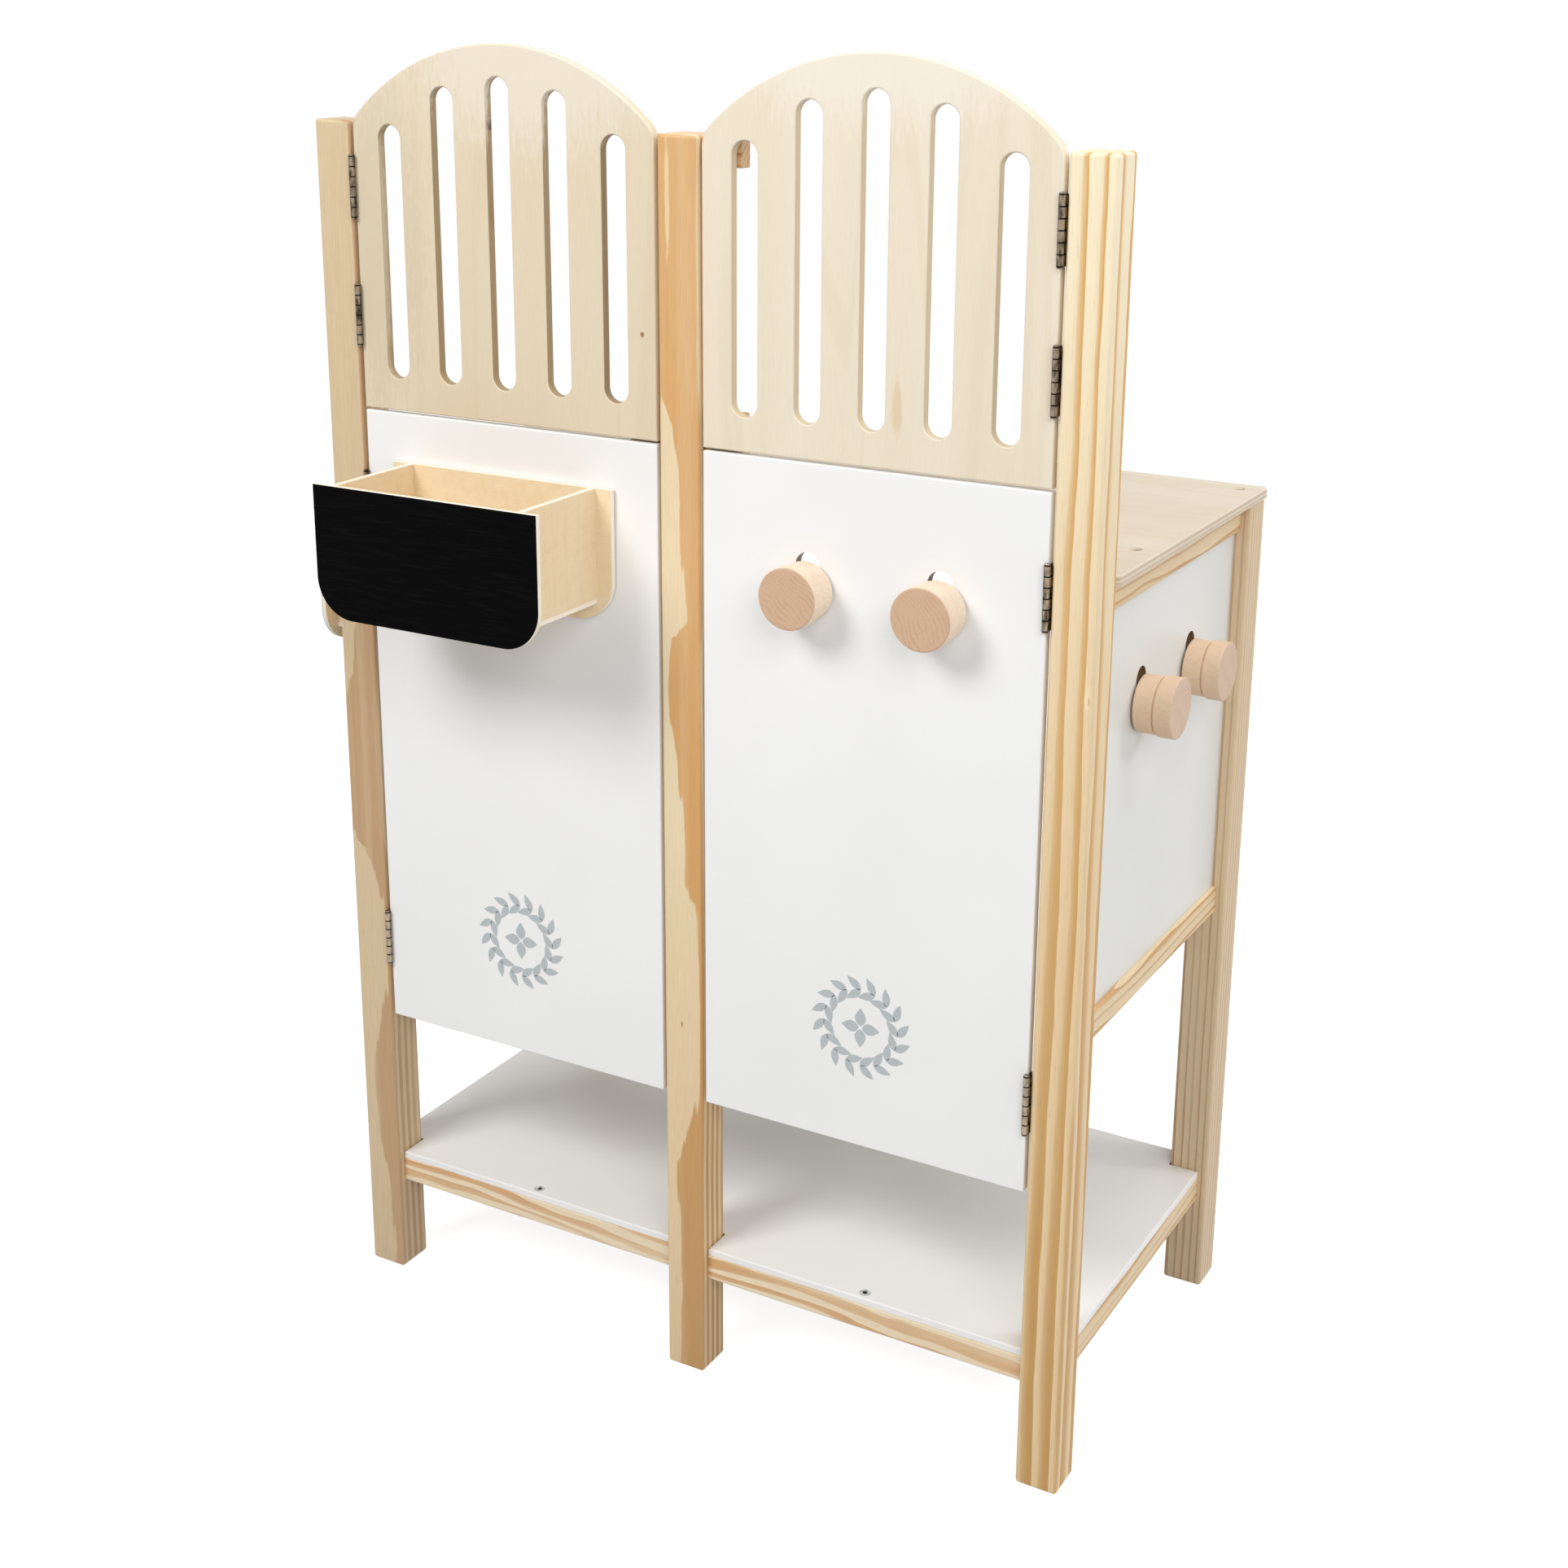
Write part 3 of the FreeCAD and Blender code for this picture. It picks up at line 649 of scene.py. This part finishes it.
leaf_pairs = 16
leaf_lean = math.radians(38)
clover_leaves = 4
clover_gap = 1.2 * MM
clover_breadth = 0.62
outward_lean = math.radians(-90)
long_leaf = leaf(sizes["Leaf Length"], sizes["Leaf Width"])
clover_leaf = leaf(sizes["Clover Length"], maths(wreath, "MULTIPLY", sizes["Clover Length"], clover_breadth))
outer_leaves = ring_of(leaf_pairs, sizes["Ring Radius"], long_leaf, -leaf_lean)
inner_leaves = ring_of(leaf_pairs, sizes["Ring Radius"], long_leaf, leaf_lean)
clover = ring_of(clover_leaves, clover_gap, clover_leaf, outward_lean)
inputs = {"Geometry": joined(wreath, outer_leaves, inner_leaves, clover), "Rotation": (math.pi / 2, 0, 0)}
upright = add(wreath, "GeometryNodeTransform", inputs).outputs[0]
inked = coated(wreath, scattered(wreath, sizes["Geometry"], upright), ink)
wreath.links.new(inked, made.inputs[0])

print_lift = 0.04 * MM
print_height = 368 * MM
wreath_sizes = {
    "Ring Radius": 33 * MM, "Leaf Length": 16 * MM, "Leaf Width": 7 * MM, "Clover Length": 16 * MM,
}
for side in ("left", "right"):
    door = middle("lower_door_" + side)
    spot = (door.x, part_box("lower_door_" + side)[0].y - print_lift, print_height)
    grown("door_print_" + side, wreath, [spot], wreath_sizes, "lower_door_" + side)


# Hinges: small butt hinges of nickel-plated steel, their barrels in front of the gap between post and door.
# The plating is uneven, with a dark bloom painted darker on the three upper pairs and paler on the lowest
# pair as painted reflection, and a dark band of painted shade in the joints between the knuckles.

knuckle_count = 6
joint_far = 0.105
joint_near = 0.035
joint_painted_shade = colour(38, 33, 28)
bright_nickel = colour(162, 148, 128)
shaded_tarnish = colour(62, 54, 44)
lit_tarnish = colour(120, 108, 96)
for place, tarnish_and_painted_light in (
    ("upper_door_top", shaded_tarnish),
    ("upper_door_bottom", shaded_tarnish),
    ("lower_door_top", shaded_tarnish),
    ("lower_door_bottom", lit_tarnish),
):
    low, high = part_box("hinge_" + place + "_right_door_leaf")
    nickel = steel("nickel_" + place, bright_nickel, tarnish_and_painted_light, (0.14, 0.32))
    tree = nickel.node_tree
    shader = tree.nodes["Principled BSDF"]
    plating = shader.inputs["Base Color"].links[0].from_socket
    point = add(tree, "ShaderNodeTexCoord", {}).outputs["Object"]
    height = maths(tree, "SUBTRACT", coordinate(tree, point, "Z"), low.z)
    knuckle = maths(tree, "MULTIPLY", height, knuckle_count / (high.z - low.z))
    edge = maths(tree, "ABSOLUTE", maths(tree, "SUBTRACT", maths(tree, "FRACT", knuckle), 0.5))
    # A dark band at each joint between knuckles: painted shade in the gaps.
    joint = spread(tree, edge, 0.5 - joint_far, 0.5 - joint_near)
    tree.links.new(mixed(tree, joint, plating, joint_painted_shade), shader.inputs["Base Color"])
    dress(nickel, *(name for name in nodes if name.startswith("hinge_" + place)))


# Knobs: turned from beech dowel, with a fine groove round the middle and a peg that hangs in a keyhole.
# The ends show the growth rings, and the sides the short flecks of the rays.


def beech(name, front, outward, pith, side_shade, end_shade):
    """Beech turned along an axis: ring lines and a deeper tint on the end, pale flecked sides."""
    material, tree, shader, point = surface(name, Specular_IOR_Level=0.3)
    local = vectors(tree, "SUBTRACT", point, front)
    inputs = {0: local, 1: outward}
    depth = add(tree, "ShaderNodeVectorMath", inputs, operation="DOT_PRODUCT").outputs["Value"]
    end_from = -1.2 * MM
    end_to = -0.3 * MM
    end = spread(tree, depth, end_from, end_to)
    grain_share = 0.06
    flat = tuple(1 - abs(share) for share in outward)
    run = tuple(grain_share if share else 1.0 for share in outward)
    drift_reach = Vector((20, 20, 20)) * MM
    drift = noise(tree, local, (30, 30, 30), 4.0, "Color")
    swayed = vectors(tree, "MULTIPLY_ADD", drift, drift_reach, local)
    radius = norm(tree, vectors(tree, "MULTIPLY", vectors(tree, "SUBTRACT", swayed, pith), flat))
    ring_width = 3.6 * MM
    phase = maths(tree, "FRACT", maths(tree, "DIVIDE", radius, ring_width))
    line = steps(tree, phase, (0.0, 0.1), (0.45, 0.0), (0.8, 0.4), (0.94, 1.0), (1.0, 0.1))
    fleck = spread(tree, grained(tree, local, run, 2400, 1.0), 0.58, 0.72)
    grit = noise(tree, local, (1300, 1300, 1300), 2.0)
    end_line = toned(end_shade, 0.7, 0.55, 0.44)
    faint = spread(tree, noise(tree, local, (70, 70, 70), 3.0), 0.38, 0.66, 0.1, 0.62)
    end_wood = mixed(tree, maths(tree, "MULTIPLY", line, faint), end_shade, end_line)
    end_wood = mixed(tree, 1.0, end_wood, spread(tree, grit, 0.25, 0.75, 0.9, 1.06), "MULTIPLY")
    line_share = 0.25
    fleck_share = 0.22
    side_line = toned(side_shade, 0.8, 0.8, 0.8)
    side_wood = mixed(tree, maths(tree, "MULTIPLY", line, line_share), side_shade, side_line)
    side_wood = mixed(tree, maths(tree, "MULTIPLY", fleck, fleck_share), side_wood, end_line)
    tree.links.new(mixed(tree, end, side_wood, end_wood), shader.inputs["Base Color"])
    tree.links.new(spread(tree, grit, 0.2, 0.8, 0.48, 0.62), shader.inputs["Roughness"])
    grit_depth = 0.05 * MM
    relief(tree, shader, grit, grit_depth)
    return material


beech_side = colour(247, 226, 202)
beech_end = colour(211, 177, 147)
# The side knobs' sides are painted darker and their ends paler than the door knobs': painted shade and light.
shaded_beech_side = colour(228, 200, 170)
lit_beech_end = colour(217, 189, 165)
for name, outward, pith, side_shade, end_shade in (
    ("knob_door_left", (0, -1, 0), (-0.035, 0, -0.06), beech_side, beech_end),
    ("knob_door_right", (0, -1, 0), (-0.06, 0, -0.035), beech_side, beech_end),
    ("knob_side_front", (1, 0, 0), (0, 0.05, -0.05), shaded_beech_side, lit_beech_end),
    ("knob_side_back", (1, 0, 0), (0, 0.06, -0.04), shaded_beech_side, lit_beech_end),
):
    low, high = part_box(name)
    centre = middle(name)
    front = Vector((high.x, centre.y, centre.z)) if outward[0] else Vector((centre.x, low.y, centre.z))
    dress(beech("beech_" + name, front, outward, pith, side_shade, end_shade), name)


# Troughs: boxes of thin ply glued between two plates with round lower corners, hung by two beech pegs.
# The outer plate's face is sprayed with blackboard paint; all other faces are bare.

trough_face = colour(241, 221, 186)
trough_cross = colour(255, 252, 244)
trough_look = {"figure": 0.25, "skin": 0.07, "glued": 0.0, "curly": 0.28}
paint_depth = 0.25 * MM
paint_dark = colour(3, 3, 3)
paint_worn = colour(13, 13, 13)
paint_gloss = 0.03
peg_pith = (0, 0, -0.05)


def trough_ply(name, piece, across, grain):
    """The troughs' thin ply for one piece, its layers stacked along an axis."""
    low, high = (corner["XYZ".index(across)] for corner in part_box(piece))
    return ply(name, across, low, high - low, 1, trough_face, trough_cross, grain, **trough_look)


def blackboard(name, piece, across, grain):
    """Trough ply with blackboard paint on its outer face only, the veneer's grain faint beneath the paint."""
    material = trough_ply(name, piece, across, grain)
    tree = material.node_tree
    shader = tree.nodes["Principled BSDF"]
    point = add(tree, "ShaderNodeTexCoord", {}).outputs["Object"]
    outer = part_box(piece)[0]["XYZ".index(across)]
    painted = maths(tree, "LESS_THAN", coordinate(tree, point, across), outer + paint_depth)
    streaks = noise(tree, point, (30, 30, 700), 3.0)
    paint = mixed(tree, spread(tree, streaks, 0.45, 0.72), paint_dark, paint_worn)
    wood = shader.inputs["Base Color"].links[0].from_socket
    tree.links.new(mixed(tree, painted, wood, paint), shader.inputs["Base Color"])
    wood_rough = shader.inputs["Roughness"].links[0].from_socket
    paint_rough = spread(tree, streaks, 0.3, 0.7, 0.7, 0.85)
    rough = add(tree, "ShaderNodeMix", {0: painted, 2: wood_rough, 3: paint_rough})
    tree.links.new(rough.outputs[0], shader.inputs["Roughness"])
    streak_depth = 0.08 * MM
    relief(tree, shader, streaks, streak_depth)
    shader.inputs["Specular IOR Level"].default_value = paint_gloss
    return material


for trough, across, lengthwise, peg_way in (
    ("trough_door_", "Y", "X", (0, 1, 0)), ("trough_side_", "X", "Y", (1, 0, 0)),
):
    front_plate = trough + "front_plate"
    dress(blackboard(trough + "blackboard", front_plate, across, lengthwise), front_plate)
    back_plate = trough + "back_plate"
    dress(trough_ply(trough + "back_ply", back_plate, across, lengthwise), back_plate)
    dress(trough_ply(trough + "floor_ply", trough + "floor", "Z", lengthwise), trough + "floor")
    for end in ("end_left", "end_right"):
        dress(trough_ply(trough + end + "_ply", trough + end, lengthwise, "Z"), trough + end)
    pegs = trough + "pegs"
    dress(beech(trough + "pegs_beech", middle(pegs), peg_way, peg_pith, beech_side, beech_end), pegs)


# Studio: a white floor that keeps a soft shadow, and a surround that is brighter towards the right and back.
# A large key lamp stands high on the left, a fill on the right, a small one behind on the right, one above.

floor_size = 12.0
floor_mesh = bpy.data.meshes.new("floor")
half = floor_size / 2
corners = [(-half, -half, 0), (half, -half, 0), (half, half, 0), (-half, half, 0)]
floor_mesh.from_pydata(corners, [], [(0, 1, 2, 3)])
floor = bpy.data.objects.new("floor", floor_mesh)
bpy.context.scene.collection.objects.link(floor)


def seen(tree):
    """1 where a ray comes from the camera, a reflection or a clear piece, else 0."""
    path = add(tree, "ShaderNodeLightPath", {}).outputs
    shown = maths(tree, "MAXIMUM", path["Is Camera Ray"], path["Is Glossy Ray"])
    return maths(tree, "MAXIMUM", shown, path["Is Transmission Ray"])


paper_dark = colour(196, 196, 196)
paper_pale = colour(200, 200, 200)
paper_glow = 0.8
paper, paper_tree, paper_shader, paper_point = surface("white_paper", Roughness=0.9, Specular_IOR_Level=0.0)
paper_shade = mixed(paper_tree, noise(paper_tree, paper_point, (300, 300, 300)), paper_dark, paper_pale)
paper_tree.links.new(paper_shade, paper_shader.inputs["Base Color"])
paper_shader.inputs["Emission Color"].default_value = (1, 1, 1, 1)
glow = maths(paper_tree, "MULTIPLY", seen(paper_tree), paper_glow)
paper_tree.links.new(glow, paper_shader.inputs["Emission Strength"])
floor_mesh.materials.append(paper)

world = bpy.data.worlds.new("surround")
bpy.context.scene.world = world
world.use_nodes = True
sky = world.node_tree
right_share = 0.8
back_share = 0.35
dimmest = 0.1
brightest = 0.66
way = add(sky, "ShaderNodeTexCoord", {}).outputs["Generated"]
facing = maths(sky, "MULTIPLY", coordinate(sky, way, "Y"), back_share)
facing = maths(sky, "MULTIPLY_ADD", coordinate(sky, way, "X"), right_share, facing)
ambient = spread(sky, facing, -1.0, 1.1, dimmest, brightest)
strength = maths(sky, "MAXIMUM", seen(sky), ambient)
sky.links.new(strength, sky.nodes["Background"].inputs["Strength"])
sky.nodes["Background"].inputs["Color"].default_value = (1, 1, 1, 1)


def lamp(name, place, aim, size, power):
    """A square soft lamp that faces a point."""
    light = bpy.data.lights.new(name, "AREA")
    light.size = size
    light.energy = power
    made = bpy.data.objects.new(name, light)
    made.location = place
    made.rotation_euler = (Vector(aim) - Vector(place)).to_track_quat("-Z", "Y").to_euler()
    bpy.context.scene.collection.objects.link(made)


centre_aim = (0, 0.1, 0.6)
key_aim = (0, 0.1, 0.8)
side_aim = (0.2, 0.15, 0.5)
lamp("key", (-0.95, -2.1, 2.6), key_aim, size=1.2, power=53)
lamp("fill", (1.8, -1.8, 2.2), centre_aim, size=1.5, power=28)
lamp("side", (2.0, 0.95, 1.7), side_aim, size=0.4, power=7.5)
lamp("top", (0.8, 0.5, 2.9), centre_aim, size=1.4, power=18)

eye = Vector((898.8, -1444.6, 1164.3)) * MM
azimuth = math.radians(29.411)
elevation = math.radians(16.352)
roll = math.radians(0.351)
back = Vector((
    math.sin(azimuth) * math.cos(elevation), -math.cos(azimuth) * math.cos(elevation), math.sin(elevation)
))
level = Vector((math.cos(azimuth), math.sin(azimuth), 0))
above = back.cross(level)
right = level * math.cos(roll) + above * math.sin(roll)
up = above * math.cos(roll) - level * math.sin(roll)
lens = bpy.data.cameras.new("camera")
lens.sensor_width = 36
lens.lens = 50.784
lens.shift_y = -0.095
camera = bpy.data.objects.new("camera", lens)
camera.matrix_world = Matrix.Translation(eye) @ Matrix((right, up, back)).transposed().to_4x4()
bpy.context.scene.collection.objects.link(camera)
bpy.context.scene.camera = camera
bpy.context.scene.view_settings.view_transform = "Standard"
